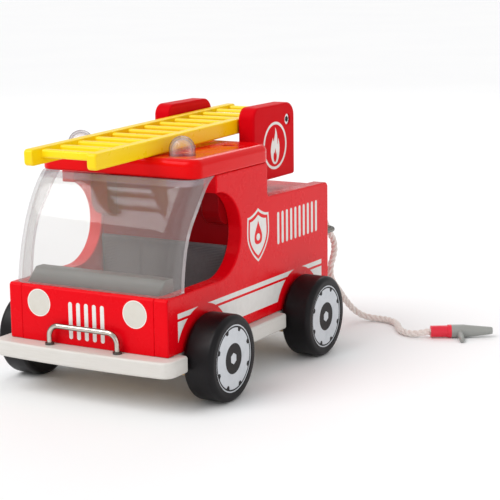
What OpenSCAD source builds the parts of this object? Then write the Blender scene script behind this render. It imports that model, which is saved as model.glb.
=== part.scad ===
// Toy fire engine: painted wooden body panels, clear windscreen and beacons,
// tilting yellow ladder on a tower, four wheels on two steel axles,
// rope hose with a nozzle. Millimetres, +Z up.
// The front of the engine faces -Y, its left side faces +X, the floor is Z = 0.

/* [Body] */
// Width over the two side panels
body_w = 121; // [118:1:123]
// Thickness of the side, nose, rear and cab panels
panel_t = 10; // [9:0.5:11]
// Length of the side panels
body_len = 215; // [214:1:218]
// Height of the window sill and of the nose above the floor
sill_z = 71.5; // [70.5:0.5:72.5]
// Height of the rear body where it meets the cab
deck_z = 117; // [115:0.5:118]
// Fall of the rear body's top edge towards the tail
deck_fall = 2; // [0:0.5:3]
// Radius of the round end of the side window
window_r = 28.5; // [27:0.5:29]

/* [Base board] */
// Height of the underside of the base board
board_z = 24.5; // [24:0.25:25]
// Thickness of the base board
board_t = 10.5; // [10:0.25:11]
// Width over the bumper and the running boards
board_w = 136; // [132:1:138]
// How far the bumper stands out ahead of the nose
bumper_out = 13; // [11:0.5:15]

/* [Roof] */
// Height of the underside of the roof
roof_z = 140; // [139.5:0.25:140.25]
// Thickness of the roof
roof_t = 12.5; // [11.5:0.25:12.5]
// Distance from the nose to the roof's front edge
roof_front = 36; // [35:0.5:38]
// Distance from the nose to the roof's rear edge
roof_rear = 134; // [130:0.5:136]
// Rounding along the roof's upper edges
roof_ease = 5; // [3:0.5:6]

/* [Wheels] */
// Wheel diameter
wheel_d = 56; // [55:0.5:56]
// Wheel width
wheel_w = 21.5; // [20:0.5:22]
// Axle diameter
axle_d = 5; // [4:0.5:5.5]
// Distance from the nose to the front axle
axle_front_y = 41.5; // [41:0.25:42]
// Distance from the nose to the rear axle
axle_rear_y = 168.5; // [168:0.25:169]

/* [Tower and ladder] */
// Distance between the inner faces of the tower cheeks
tower_gap = 56.6; // [56:0.2:58]
// Thickness of a tower cheek
cheek_t = 12; // [10:0.5:13]
// Height of the top of the tower
tower_top = 173.3; // [170:0.5:175]
// Width over the ladder rails
ladder_w = 53.8; // [52:0.2:54]
// Height of a ladder rail
rail_h = 10.4; // [9.4:0.2:10.6]
// Thickness of a ladder rail
rail_t = 6.5; // [5:0.25:7]
// Number of rungs
rung_n = 13; // [10:1:14]

/* [Chrome bars] */
// Diameter of the bent rods at the front and the rear
rod_d = 3.5; // [3:0.25:4]
// Distance between the legs of the front bar
front_bar_w = 52; // [48:1:56]

/* [Hose] */
// Diameter of the rope hose
hose_d = 5; // [4:0.25:5]

/* [Hidden] */
$fn = 64;
eps = 0.01;

hw = body_w / 2;                 // outer face of a side panel
ih = hw - panel_t;               // inner face of a side panel
mid_x = hw - panel_t / 2;        // middle of a side panel
board_top = board_z + board_t;
roof_top = roof_z + roof_t;
axle_z = wheel_d / 2;
axle_r = axle_d / 2;
wheel_in = hw + 1;               // inner face of a wheel
pin_y = 192;
pin_z = 161.5;
pin_r = 2.5;
ladder_front = -214.6;           // ladder ends, along the rails from the pin
ladder_rear = 31;
ladder_pitch = 1.3;              // the lowered ladder falls this much to the front
cheek_in = tower_gap / 2;
cheek_out = cheek_in + cheek_t;
tower_y0 = 143.8;
tower_y1 = 202.3;
tower_bottom = 121.7;
rod_r = rod_d / 2;
rear_bar_y = 237;
rear_bar_z = 77;
rear_bar_bend = 7;
board_c = 68 - 8;                // half width of the board between the wheels
// the origin lies below the middle of the object's length
rail_round = 2.5;
y_front = pin_y + (ladder_front + rail_round) * cos(ladder_pitch) - (rail_h / 2 - rail_round) * sin(ladder_pitch) - rail_round;
y_tail = rear_bar_y + rod_r;
y_mid = (y_front + y_tail) / 2;

module at_origin() { translate([0, -y_mid, 0]) children(); }
// plan outline extruded upwards between two heights
module slab(z0, z1) { translate([0, 0, z0]) linear_extrude(height = z1 - z0) children(); }
// side outline drawn as (y, z), extruded along X between two planes
module side_slab(x0, x1) {
  translate([x0, 0, 0]) rotate([90, 0, 90]) linear_extrude(height = x1 - x0) children();
}
module rod_x(x0, x1, y, z, r) { translate([x0, y, z]) rotate([0, 90, 0]) cylinder(r = r, h = x1 - x0); }
module rod_y(y0, y1, x, z, r) { translate([x, y0, z]) rotate([-90, 0, 0]) cylinder(r = r, h = y1 - y0); }
module rod_z(z0, z1, x, y, r) { translate([x, y, z0]) cylinder(r = r, h = z1 - z0); }
module both() { children(); mirror([1, 0, 0]) children(); }
module block(x0, x1, y0, y1, z0, z1) { translate([x0, y0, z0]) cube([x1 - x0, y1 - y0, z1 - z0]); }
// rectangle with its four corners rounded, from exact discs and squares
module round_rect(x0, x1, y0, y1, r) {
  translate([x0 + r, y0]) square([x1 - x0 - 2 * r, y1 - y0]);
  translate([x0, y0 + r]) square([x1 - x0, y1 - y0 - 2 * r]);
  for (x = [x0 + r, x1 - r], y = [y0 + r, y1 - r]) translate([x, y]) circle(r = r);
}

// ---------------------------------------------------------------- base board
bw = board_w / 2;
base_screw_y = [18, 105, 203];
cover_screw = [[30, 9], [-30, -9], [30, -9], [-30, 9]];

module base_board() {
  color([0.93, 0.90, 0.83]) at_origin() difference() {
    slab(board_z, board_top) {
      // bumper, bowed a little at the front
      intersection() {
        round_rect(-bw, bw, -bumper_out, 12.5, 3);
        round_rect(-bw, bw, -bumper_out, 60, 11);
        translate([0, 780 - bumper_out]) circle(r = 780, $fn = 200);
      }
      // between the wheels
      translate([-board_c, 0]) square([2 * board_c, body_len]);
      // running boards
      round_rect(-bw, bw, 71, 139, 3);
    }
    for (y = [axle_front_y, axle_rear_y]) {
      rod_x(-bw - 1, bw + 1, y, axle_z, axle_r + 0.06);
      block(-bw - 1, bw + 1, y - axle_r - 0.06, y + axle_r + 0.06, board_z - 1, axle_z);
    }
    for (x = [-mid_x, mid_x], y = base_screw_y) {
      rod_z(board_z - 1, board_top + 1, x, y, 1.8);
      rod_z(board_z - 1, board_z + 2.4, x, y, 3.7);
    }
    for (y = [axle_front_y, axle_rear_y], s = cover_screw) rod_z(board_z - 1, 33, s[0], y + s[1], 1.8);
    for (x = [-1, 1]) rod_z(27, board_top + 1, x * front_bar_w / 2, -4.4, rod_r + 0.03);
  }
}

module axle_cover(y) {
  color([0.86, 0.76, 0.60]) at_origin() difference() {
    slab(17, board_z) round_rect(-57, 57, y - 15, y + 15, 2);
    for (s = cover_screw) {
      rod_z(16, board_z + 1, s[0], y + s[1], 1.8);
      rod_z(16, 19.4, s[0], y + s[1], 3.7);
    }
  }
}

// ---------------------------------------------------------------- body panels
module side_outline() {
  tail_top = deck_z - deck_fall;
  difference() {
    polygon([[0, board_top], [0, sill_z - 1.5], [1.5, sill_z], [60.5, sill_z], [60.5, roof_z], [126.5, roof_z],
      [126.5, deck_z + 2], [128.5, deck_z], [body_len, tail_top], [body_len, board_top]]);
    // rounded top corner of the tail
    difference() {
      translate([body_len - 4, tail_top - 4]) square([6, 6]);
      translate([body_len - 4, tail_top - 4]) circle(r = 4);
    }
    translate([62, sill_z + window_r - 0.03]) circle(r = window_r, $fn = 120);
    translate([50, sill_z]) square([12, 2 * window_r - 0.05]);
  }
}
module side_panel() {
  difference() {
    side_slab(ih, hw) side_outline();
    for (y = base_screw_y) rod_z(board_top - 1, 50, mid_x, y, 1.8);
    for (y = [75, 118]) rod_z(129.5, roof_z + 1, mid_x, y, 3.03);
    rod_y(body_len - 12, body_len + 1, mid_x, rear_bar_z, rod_r + 0.03);
  }
}
module side_panel_left() { color([0.86, 0.06, 0.09]) at_origin() side_panel(); }
module side_panel_right() { color([0.86, 0.06, 0.09]) at_origin() mirror([1, 0, 0]) side_panel(); }

module nose_panel() {
  color([0.86, 0.06, 0.09]) at_origin() side_slab(-ih, ih)
    polygon([[0, board_top], [0, sill_z - 1.5], [1.5, sill_z], [panel_t, sill_z], [panel_t, board_top]]);
}
module cab_back_wall() {
  color([0.72, 0.05, 0.07]) at_origin() block(-ih, ih, 91, 91 + panel_t, board_top, roof_z);
}
module deck_board() {
  color([0.86, 0.06, 0.09]) at_origin() difference() {
    block(-ih, ih, 91 + panel_t, body_len, 103, 113);
    for (y = [156, 174]) {
      rod_z(102, 114, 0, y, 2.03);
      rod_z(102, 105.5, 0, y, 4.2);
    }
  }
}
module rear_panel() {
  color([0.86, 0.06, 0.09]) at_origin() block(-ih, ih, body_len - panel_t, body_len, board_top, 103);
}

// ---------------------------------------------------------------- roof
roof_plug = [41, 109];
module roof_corner(x, y, r) {
  translate([x, y, roof_z]) rotate_extrude($fn = 48) intersection() {
    union() {
      square([r - roof_ease, roof_t]);
      square([r - 1.5, roof_t - roof_ease]);
      translate([0, 1.5]) square([r, roof_t - 1.5 - roof_ease]);
      translate([r - 1.5, 1.5]) circle(r = 1.5, $fn = 16);
      translate([r - roof_ease, roof_t - roof_ease]) circle(r = roof_ease, $fn = 32);
    }
    square([r, roof_t]);
  }
}
module roof_panel() {
  color([0.90, 0.08, 0.08]) at_origin() difference() {
    hull() for (x = [-1, 1]) {
      roof_corner(x * (hw - 9), roof_front + 9, 9);
      roof_corner(x * (hw - 12), roof_rear - 12, 12);
    }
    for (x = [-mid_x, mid_x], y = [75, 118]) rod_z(roof_z - 1, 147.5, x, y, 3.03);
    for (x = [-1, 1]) {
      rod_z(roof_z - 1, roof_top + 1, x * roof_plug[0], roof_plug[1], 1.8);
      rod_z(roof_top - 5.5, roof_top + 1, x * roof_plug[0], roof_plug[1], 4.03);
      // seat of a beacon
      rod_z(roof_top - 1.5, roof_top + 1, x * beacon_x, beacon_y, beacon_r + 0.05);
    }
  }
}
// rounded block that ties the roof to the back wall, seen inside the cab
module roof_post() {
  color([0.72, 0.05, 0.07]) at_origin() side_slab(ih - 13.5, ih) {
    translate([79, 115]) square([12, roof_z - 115]);
    translate([91, 115]) intersection() { circle(r = 12); translate([-12, -12]) square([12, 12]); }
  }
}
module roof_post_left() { roof_post(); }
module roof_post_right() { mirror([1, 0, 0]) roof_post(); }
// blocks behind the back wall that the roof screws bite into
module roof_cleats() {
  color([0.86, 0.76, 0.60]) at_origin() both() difference() {
    block(ih - 14, ih, 91 + panel_t, 119, 122, roof_z);
    rod_z(126, roof_z + 1, roof_plug[0], roof_plug[1], 1.8);
  }
}
// flat-headed screw: head at z_head, shank towards z_tip
module screw(x, y, z_head, z_tip) {
  d = z_tip > z_head ? 1 : -1;
  translate([x, y, z_head]) mirror([0, 0, d > 0 ? 0 : 1]) difference() {
    union() {
      cylinder(r = 3.5, h = 2.2);
      cylinder(r = 1.75, h = abs(z_tip - z_head));
    }
    translate([-2.4, -0.4, -1]) cube([4.8, 0.8, 1.9]);
    translate([-0.4, -2.4, -1]) cube([0.8, 4.8, 1.9]);
  }
}
module roof_screws() {
  color([0.75, 0.75, 0.78]) at_origin() both() screw(roof_plug[0], roof_plug[1], roof_top - 3.2, 127);
}
module roof_plugs() {
  color([0.72, 0.05, 0.07]) at_origin() both() rod_z(roof_top - 3.1, roof_top - 0.6, roof_plug[0], roof_plug[1], 4);
}
module roof_dowels() {
  color([0.86, 0.76, 0.60]) at_origin() for (x = [-mid_x, mid_x], y = [75, 118]) rod_z(130, 147, x, y, 3);
}

// ---------------------------------------------------------------- cab
// windscreen: heights, front face and free side edge at each height
ws_z = [71.6, 78, 85, 92, 99, 106, 112, 118, 123.5, 128.5, 133, 137, 139.9];
ws_f = [2, 2.9, 4.2, 5.8, 7.8, 10.2, 12.6, 15.5, 18.6, 21.9, 25.3, 28.9, 32];
ws_g = [21.5, 22, 23, 24.4, 26.4, 29.2, 32.8, 37.5, 42, 46, 50, 54.5, 60];
ws_w = hw - 1;
ws_r = 10;
ws_t = 2.2;
ws_arc = [for (i = [0:6]) i * 15];
function ws_ring(i) = let (z = ws_z[i], f = ws_f[i], g = ws_g[i],
    k = i == 0 ? 0.14 : (ws_f[i] - ws_f[i - 1]) / (ws_z[i] - ws_z[i - 1]),
    ty = ws_t * sqrt(1 + k * k), c = [ws_w - ws_r, f + ws_r])
  concat(
    [[ws_w, g, z]],
    [for (a = ws_arc) [c[0] + ws_r * cos(a), c[1] - ws_r * sin(a), z]],
    [for (j = [6:-1:0]) let (a = ws_arc[j]) [-c[0] - ws_r * cos(a), c[1] - ws_r * sin(a), z]],
    [[-ws_w, g, z], [-ws_w + ws_t, g, z]],
    [for (a = ws_arc) [-c[0] - (ws_r - ws_t) * cos(a), c[1] - (ws_r - ty) * sin(a), z]],
    [for (j = [6:-1:0]) let (a = ws_arc[j]) [c[0] + (ws_r - ws_t) * cos(a), c[1] - (ws_r - ty) * sin(a), z]],
    [[ws_w - ws_t, g, z]]);
ws_n = len(ws_ring(0));
ws_m = len(ws_z);
// the end caps are strips between the outer and the inner line
ws_cap = [for (j = [0:ws_n / 2 - 2]) [j, j + 1, ws_n - 2 - j, ws_n - 1 - j]];
module windscreen() {
  color([0.85, 0.88, 0.90, 0.4]) at_origin() union() {
    polyhedron(
      points = [for (i = [0:ws_m - 1]) each ws_ring(i)],
      faces = concat(
        [for (q = ws_cap) [q[3], q[2], q[1], q[0]]],
        [for (q = ws_cap) [for (v = q) v + (ws_m - 1) * ws_n]],
        [for (i = [0:ws_m - 2], j = [0:ws_n - 1]) let (a = i * ws_n + j, b = i * ws_n + (j + 1) % ws_n)
          [a, b, b + ws_n, a + ws_n]]),
      convexity = 6);
  }
}
module dashboard() {
  color([0.47, 0.48, 0.46]) at_origin() side_slab(-ih + 0.3, ih - 0.3)
    polygon([[6.5, sill_z + 0.1], [15.5, 80], [24, 80], [24, 60], [panel_t + 0.1, 60], [panel_t + 0.1, sill_z + 0.1]]);
}
module seat_bench() {
  color([0.30, 0.30, 0.31]) at_origin() block(-ih, ih, 58, 91, board_top, 50);
}
module seat_cushion() {
  color([0.28, 0.28, 0.29]) at_origin() block(-ih + 0.5, ih - 0.5, 58.5, 87, 50, 54);
}
module seat_back() {
  color([0.28, 0.28, 0.29]) at_origin() block(-ih + 0.5, ih - 0.5, 87.5, 91, 50, 89);
}

// ---------------------------------------------------------------- beacons
beacon_x = 39.2;
beacon_y = 54.4;
beacon_r = 8.5;
beacon_top = 164.8;
module beacon(x) {
  h = beacon_top - beacon_r - (roof_top - 1.5);
  color([0.9, 0.92, 0.95, 0.5]) at_origin() translate([x, beacon_y, roof_top - 1.5]) rotate_extrude($fn = 64)
    difference() {
      union() {
        square([beacon_r, h]);
        translate([0, h]) intersection() { circle(r = beacon_r); square([beacon_r, beacon_r]); }
      }
      translate([0, -1]) square([beacon_r - 1.4, h + 1]);
      translate([0, h]) intersection() { circle(r = beacon_r - 1.4); square([beacon_r, beacon_r]); }
      translate([-beacon_r * 2, -1]) square([beacon_r * 2, 40]);
    }
}
module beacon_left() { beacon(beacon_x); }
module beacon_right() { beacon(-beacon_x); }

// ---------------------------------------------------------------- tower
dowel_at = [[153, 129], [175, 129]];
module tower_plinth() {
  color([0.72, 0.05, 0.07]) at_origin() difference() {
    block(-cheek_in, cheek_in, 146, 182, 113, 136);
    for (y = [156, 174]) rod_z(112, 131, 0, y, 2.03);
    for (s = [-1, 1], d = dowel_at) rod_x(min(s * 17, s * (cheek_in + 1)), max(s * 17, s * (cheek_in + 1)), d[0], d[1], 3.03);
  }
}
module cheek_outline() {
  translate([tower_y0, tower_bottom + 2]) square([tower_y1 - tower_y0, tower_top - 10 - tower_bottom - 2]);
  translate([tower_y0 + 2, tower_bottom]) square([tower_y1 - tower_y0 - 4, 10]);
  translate([tower_y0 + 8, tower_top - 20]) square([tower_y1 - tower_y0 - 18, 20]);
  translate([tower_y0, tower_top - 20]) square([20, 12]);
  translate([tower_y0 + 8, tower_top - 8]) circle(r = 8);
  translate([tower_y1 - 10, tower_top - 10]) circle(r = 10);
  for (y = [tower_y0 + 2, tower_y1 - 2]) translate([y, tower_bottom + 2]) circle(r = 2);
}
module tower_cheek() {
  difference() {
    side_slab(cheek_in, cheek_out) cheek_outline();
    rod_x(cheek_in - 1, cheek_out + 1, pin_y, pin_z, pin_r + 0.02);
    rod_x(cheek_out - 3.5, cheek_out + 1, pin_y, pin_z, 3.9);
    for (d = dowel_at) rod_x(cheek_in - 1, cheek_in + 7.5, d[0], d[1], 3.03);
  }
}
module tower_cheek_left() { color([0.80, 0.06, 0.10]) at_origin() tower_cheek(); }
module tower_cheek_right() { color([0.80, 0.06, 0.10]) at_origin() mirror([1, 0, 0]) tower_cheek(); }
module tower_bolts() {
  color([0.75, 0.75, 0.78]) at_origin() for (y = [156, 174]) difference() {
    union() { rod_z(103, 105.4, 0, y, 4); rod_z(103, 130, 0, y, 2); }
    translate([0, y, 102]) cylinder(r = 1.8, h = 2.4, $fn = 6);
  }
}
module cheek_dowels() {
  color([0.86, 0.76, 0.60]) at_origin() both() for (d = dowel_at) rod_x(cheek_in - 10, cheek_in + 7, d[0], d[1], 3);
}

// ---------------------------------------------------------------- ladder
rung_first = 12.5;                                 // first and last rung, from the two ends
rung_last = 6;
rung_step = (ladder_rear - ladder_front - rung_first - rung_last) / (rung_n - 1);
module ladder() {
  li = ladder_w / 2 - rail_t;
  color([0.98, 0.82, 0.12]) at_origin() translate([0, pin_y, pin_z]) rotate([ladder_pitch, 0, 0]) {
    difference() {
      union() {
        both() side_slab(li, ladder_w / 2) round_rect(ladder_front, ladder_rear, -rail_h / 2, rail_h / 2, rail_round);
        for (i = [0:rung_n - 1]) side_slab(-li - 0.5, li + 0.5)
          round_rect(ladder_front + rung_first + i * rung_step - 3, ladder_front + rung_first + i * rung_step + 3, -1.2, rail_h / 2 - 1.2, 1.5);
      }
      rod_x(-ladder_w, ladder_w, 0, 0, pin_r + 0.05);
    }
  }
}
module ladder_pin() {
  color([0.80, 0.80, 0.82]) at_origin() difference() {
    union() {
      rod_x(-cheek_out + 2, cheek_out - 2, pin_y, pin_z, pin_r);
      for (s = [-1, 1]) rod_x(s > 0 ? cheek_out - 3.4 : -cheek_out + 0.9, s > 0 ? cheek_out - 0.9 : -cheek_out + 3.4, pin_y, pin_z, 3.7);
    }
    for (s = [-1, 1]) translate([s * (cheek_out - 0.9), pin_y, pin_z]) rotate([0, s * 90, 0]) translate([0, 0, -1.5]) cylinder(r = 2.1, h = 3);
  }
}
module ladder_washers() {
  color([0.80, 0.80, 0.82]) at_origin() both() difference() {
    rod_x(ladder_w / 2 + 0.2, cheek_in - 0.02, pin_y, pin_z, 4.5);
    rod_x(ladder_w / 2 - 1, cheek_in + 1, pin_y, pin_z, pin_r + 0.02);
  }
}

// ---------------------------------------------------------------- chrome bars
// quarter bend of round rod about the corner's centre
module quarter_bend(r) { rotate_extrude(angle = 90, $fn = 64) translate([r, 0]) circle(r = rod_r, $fn = 32); }
module front_bar() {
  zt = 47.7; b = 7; lx = front_bar_w / 2;
  color([0.85, 0.85, 0.86]) at_origin() both() union() {
    rod_z(27.5, zt - b, lx, -4.4, rod_r);
    translate([lx - b, -4.4, zt - b]) rotate([90, 0, 0]) quarter_bend(b);
    rod_x(0, lx - b, -4.4, zt, rod_r);
  }
}
module front_bar_collars() {
  color([0.35, 0.35, 0.36]) at_origin() for (s = [-1, 1]) difference() {
    rod_z(board_top, board_top + 1.4, s * front_bar_w / 2, -4.4, 2.9);
    rod_z(board_top - 1, board_top + 2, s * front_bar_w / 2, -4.4, rod_r + 0.02);
  }
}
module rear_bar() {
  b = rear_bar_bend;
  color([0.85, 0.85, 0.86]) at_origin() both() union() {
    rod_y(body_len - 11.5, rear_bar_y - b, mid_x, rear_bar_z, rod_r);
    translate([mid_x - b, rear_bar_y - b, rear_bar_z]) quarter_bend(b);
    rod_x(0, mid_x - b, rear_bar_y, rear_bar_z, rod_r);
  }
}

// ---------------------------------------------------------------- wheels
module axle(y) {
  color([0.75, 0.75, 0.78]) at_origin() rod_x(-wheel_in - 15, wheel_in + 15, y, axle_z, axle_r);
}
module axle_front() { axle(axle_front_y); }
module axle_rear() { axle(axle_rear_y); }
module wheel_outline() {
  // radius along X, height along Y from the inner to the outer face
  r = wheel_d / 2; e = 3.5;
  difference() {
    union() {
      square([r - e, wheel_w]);
      translate([0, e]) square([r, wheel_w - 2 * e]);
      translate([r - e, e]) circle(r = e);
      translate([r - e, wheel_w - e]) circle(r = e);
    }
    translate([-r, -1]) square([r, wheel_w + 2]);
    translate([0, -1]) square([axle_r + 0.02, 16.2]);
    translate([0, wheel_w - 0.6]) square([r * 0.78, 2]);
  }
}
module wheel(y, s) {
  color([0.05, 0.05, 0.05]) at_origin() translate([s * wheel_in, y, axle_z]) rotate([0, s * 90, 0])
    rotate_extrude($fn = 96) wheel_outline();
}
module wheel_front_left() { wheel(axle_front_y, 1); }
module wheel_front_right() { wheel(axle_front_y, -1); }
module wheel_rear_left() { wheel(axle_rear_y, 1); }
module wheel_rear_right() { wheel(axle_rear_y, -1); }
module axle_washers() {
  color([0.75, 0.75, 0.78]) at_origin() for (y = [axle_front_y, axle_rear_y]) both() difference() {
    rod_x(board_c + 0.3, wheel_in - 0.3, y, axle_z, 5.5);
    rod_x(board_c - 1, wheel_in + 1, y, axle_z, axle_r + 0.05);
  }
}

// ---------------------------------------------------------------- fasteners
module base_screws() {
  color([0.75, 0.75, 0.78]) at_origin() for (x = [-mid_x, mid_x], y = base_screw_y) screw(x, y, board_z + 0.1, 49);
}
module cover_screws() {
  color([0.75, 0.75, 0.78]) at_origin() for (y = [axle_front_y, axle_rear_y], s = cover_screw) screw(s[0], y + s[1], 17.1, 32.5);
}

// ---------------------------------------------------------------- hose
hr = hose_d / 2;
// the rope's middle line, from the bar down to the floor and out into the nozzle's sleeve
hose_path = [[45.5, 240.9, 79.3], [45.5, 243.4, 75], [45.8, 246.4, 70.9], [46.2, 249.9, 67], [46.6, 252, 62], [46.9, 251.6, 56.6], [47, 249, 51.8],
  [47, 246.1, 47.1], [47, 245, 41.9], [47.1, 246.5, 36.8], [47.4, 249.8, 32.4], [48, 254, 28.2], [48.9, 257.9, 23.6], [50.3, 261.6, 18.6],
  [52.6, 264.9, 13.4], [56, 267.8, 8.7], [60.6, 270.3, 5.1], [66.4, 272.6, 3.1], [73.5, 274, 2.6], [82, 273, 2.6], [89, 268.5, 2.6],
  [94.5, 262, 2.6], [98.5, 255, 2.6], [103.5, 248, 2.6], [110, 243.5, 2.6], [116, 242.5, 2.8], [122, 244, 3.8], [127.5, 247, 4.7], [134.5, 251, 4.8]];
nozzle_at = [127.5, 247, 4.8];
nozzle_yaw = 30;
function unit(v) = v / norm(v);
function tangent(p, i) = unit(p[min(i + 1, len(p) - 1)] - p[max(i - 1, 0)]);
// eight-sided ring square to the route
function ring(c, t, r) = let (side = unit(cross(abs(t[2]) > 0.9 ? [0, 1, 0] : [0, 0, 1], t)), up = cross(t, side))
  [for (k = [0:7]) c + r * (cos(45 * k) * side + sin(45 * k) * up)];
module tube(p, r) {
  n = len(p);
  polyhedron(
    points = [for (i = [0:n - 1]) each ring(p[i], tangent(p, i), r)],
    faces = concat([[7, 6, 5, 4, 3, 2, 1, 0]], [[for (k = [0:7]) (n - 1) * 8 + k]],
      [for (i = [0:n - 2], k = [0:7]) [i * 8 + k, i * 8 + (k + 1) % 8, (i + 1) * 8 + (k + 1) % 8, (i + 1) * 8 + k]]),
    convexity = 6);
}
module hose() { color([0.90, 0.87, 0.83]) at_origin() tube(hose_path, hr); }
module hose_wrap() {
  color([0.90, 0.87, 0.83]) at_origin() difference() {
    rod_x(38, 48, rear_bar_y, rear_bar_z, rod_r + hose_d);
    rod_x(37, 53, rear_bar_y, rear_bar_z, rod_r + 0.02);
  }
}
module on_nozzle() { at_origin() translate(nozzle_at) rotate([0, 0, nozzle_yaw]) rotate([0, 90, 0]) children(); }
module nozzle_sleeve() {
  color([0.88, 0.10, 0.14]) on_nozzle() difference() {
    union() { cylinder(r = 4.2, h = 12.5); translate([0, 0, 12.5]) cylinder(r = 4.8, h = 2.5); }
    translate([0, 0, -1]) cylinder(r = 2.6, h = 12);
  }
}
module nozzle_body() {
  color([0.55, 0.55, 0.53]) on_nozzle() difference() {
    rotate_extrude($fn = 64) polygon([[0, 15], [4.7, 15], [4.7, 24], [4.2, 28], [2.7, 44], [2.3, 45], [0, 45]]);
    translate([0, 0, 35]) cylinder(r = 1.3, h = 11);
  }
}
module nozzle_lever() {
  color([0.52, 0.52, 0.50]) on_nozzle() translate([0, 0, 21]) rotate([0, 0, 10]) difference() {
    union() {
      rotate([90, 0, 0]) cylinder(r = 2, h = 15.5);
      translate([0, -15.5, 0]) sphere(r = 2, $fn = 32);
    }
    cylinder(r = 4.71, h = 20, center = true);
  }
}

base_board();
axle_cover(axle_front_y);  // axle_cover_front
axle_cover(axle_rear_y);  // axle_cover_rear
nose_panel();
side_panel_left();
side_panel_right();
cab_back_wall();
deck_board();
rear_panel();
roof_panel();
roof_post_left();
roof_post_right();
roof_cleats();
roof_screws();
roof_plugs();
windscreen();
dashboard();
seat_bench();
seat_cushion();
seat_back();
beacon_left();
beacon_right();
tower_plinth();
tower_cheek_left();
tower_cheek_right();
tower_bolts();
cheek_dowels();
ladder();
ladder_pin();
ladder_washers();
front_bar();
front_bar_collars();
rear_bar();
axle_front();
axle_rear();
wheel_front_left();
wheel_front_right();
wheel_rear_left();
wheel_rear_right();
axle_washers();
base_screws();
cover_screws();
roof_dowels();
hose_wrap();
hose();
nozzle_sleeve();
nozzle_body();
nozzle_lever();
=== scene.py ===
import math

import bpy
from mathutils import Matrix, Vector
from mathutils.geometry import tessellate_polygon


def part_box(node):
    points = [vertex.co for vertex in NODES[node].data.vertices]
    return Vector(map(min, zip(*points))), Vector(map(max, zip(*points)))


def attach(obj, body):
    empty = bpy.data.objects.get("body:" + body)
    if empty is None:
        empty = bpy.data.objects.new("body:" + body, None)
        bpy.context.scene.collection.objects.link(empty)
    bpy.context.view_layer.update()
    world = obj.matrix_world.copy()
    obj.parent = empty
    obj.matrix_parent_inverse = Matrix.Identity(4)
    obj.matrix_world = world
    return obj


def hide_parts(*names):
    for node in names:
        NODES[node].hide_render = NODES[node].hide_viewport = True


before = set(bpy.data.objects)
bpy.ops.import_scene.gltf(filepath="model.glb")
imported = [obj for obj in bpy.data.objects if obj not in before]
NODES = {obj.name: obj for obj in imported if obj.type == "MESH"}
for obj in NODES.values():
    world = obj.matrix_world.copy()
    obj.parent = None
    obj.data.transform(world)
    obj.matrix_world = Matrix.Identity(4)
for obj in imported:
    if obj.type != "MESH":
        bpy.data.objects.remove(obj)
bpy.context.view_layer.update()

MM = 0.001
Y0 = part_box("nose_panel")[0].y  # the plane of the nose
pi = math.pi
scene = bpy.context.scene


def P(x, y, z):
    """Millimetres across, back from the nose and up from the floor, as a point in the frame."""
    return Vector((x * MM, Y0 + y * MM, z * MM))


# ------------------------------------------------------------------ camera
def make_camera():
    a, e, r = math.radians(29.97), math.radians(11.09), math.radians(-0.71)
    back = Vector((math.sin(a) * math.cos(e), -math.cos(a) * math.cos(e), math.sin(e)))
    right = Vector((math.cos(a), math.sin(a), 0))
    up = back.cross(right)
    rx = math.cos(r) * right + math.sin(r) * up
    ux = -math.sin(r) * right + math.cos(r) * up
    data = bpy.data.cameras.new("camera")
    data.sensor_width = 36
    data.lens = 112.28
    data.clip_start, data.clip_end = 0.02, 80
    cam = bpy.data.objects.new("camera", data)
    scene.collection.objects.link(cam)
    m = Matrix((rx, ux, back)).transposed().to_4x4()
    m.translation = P(564.9, -773.0, 282.8)
    cam.matrix_world = m
    scene.camera = cam


make_camera()


# ------------------------------------------------------------------ mesh helpers
def new_object(name, verts, faces, normals=None, mats=(), face_mats=None):
    me = bpy.data.meshes.new(name)
    me.from_pydata([tuple(v) for v in verts], [], faces)
    me.validate()
    for m in mats:
        me.materials.append(m)
    me.polygons.foreach_set("use_smooth", [True] * len(me.polygons))
    if face_mats is not None and len(face_mats) == len(me.polygons):
        me.polygons.foreach_set("material_index", face_mats)
    if normals is not None:
        me.normals_split_custom_set_from_vertices([tuple(n) for n in normals])
    me.update()
    ob = bpy.data.objects.new(name, me)
    scene.collection.objects.link(ob)
    return ob


def area2(loop):
    return sum(loop[i][0] * loop[(i + 1) % len(loop)][1] - loop[(i + 1) % len(loop)][0] * loop[i][1] for i in range(len(loop)))


def ccw(loop):
    return list(loop) if area2(loop) > 0 else list(loop)[::-1]


def cw(loop):
    return ccw(loop)[::-1]


def disc(cx, cy, r, n=48):
    return [(cx + r * math.cos(2 * pi * i / n), cy + r * math.sin(2 * pi * i / n)) for i in range(n)]


def filleted(points, seg=6):
    """A closed outline from (x, y, corner radius) entries; a radius of 0 keeps the point."""
    out, n = [], len(points)
    for i, (x, y, r) in enumerate(points):
        if r <= 0:
            out.append((x, y))
            continue
        p = Vector((x, y))
        a = Vector(points[i - 1][:2]) - p
        b = Vector(points[(i + 1) % n][:2]) - p
        half = a.angle(b) / 2
        cut = min(r / math.tan(half), a.length * 0.49, b.length * 0.49)
        r = cut * math.tan(half)
        mid = (a.normalized() + b.normalized()).normalized()
        c = p + mid * (r / math.sin(half))
        s, e = p + a.normalized() * cut - c, p + b.normalized() * cut - c
        turn = s.angle_signed(e)
        for k in range(seg + 1):
            q = s.copy()
            q.rotate(Matrix.Rotation(-turn * k / seg, 2))
            out.append((c.x + q.x, c.y + q.y))
    return out


def tidy(loop, least=1e-4):
    out = []
    for p in loop:
        if not out or math.dist(p, out[-1]) > least:
            out.append(p)
    if math.dist(out[0], out[-1]) <= least:
        out.pop()
    return out


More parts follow.
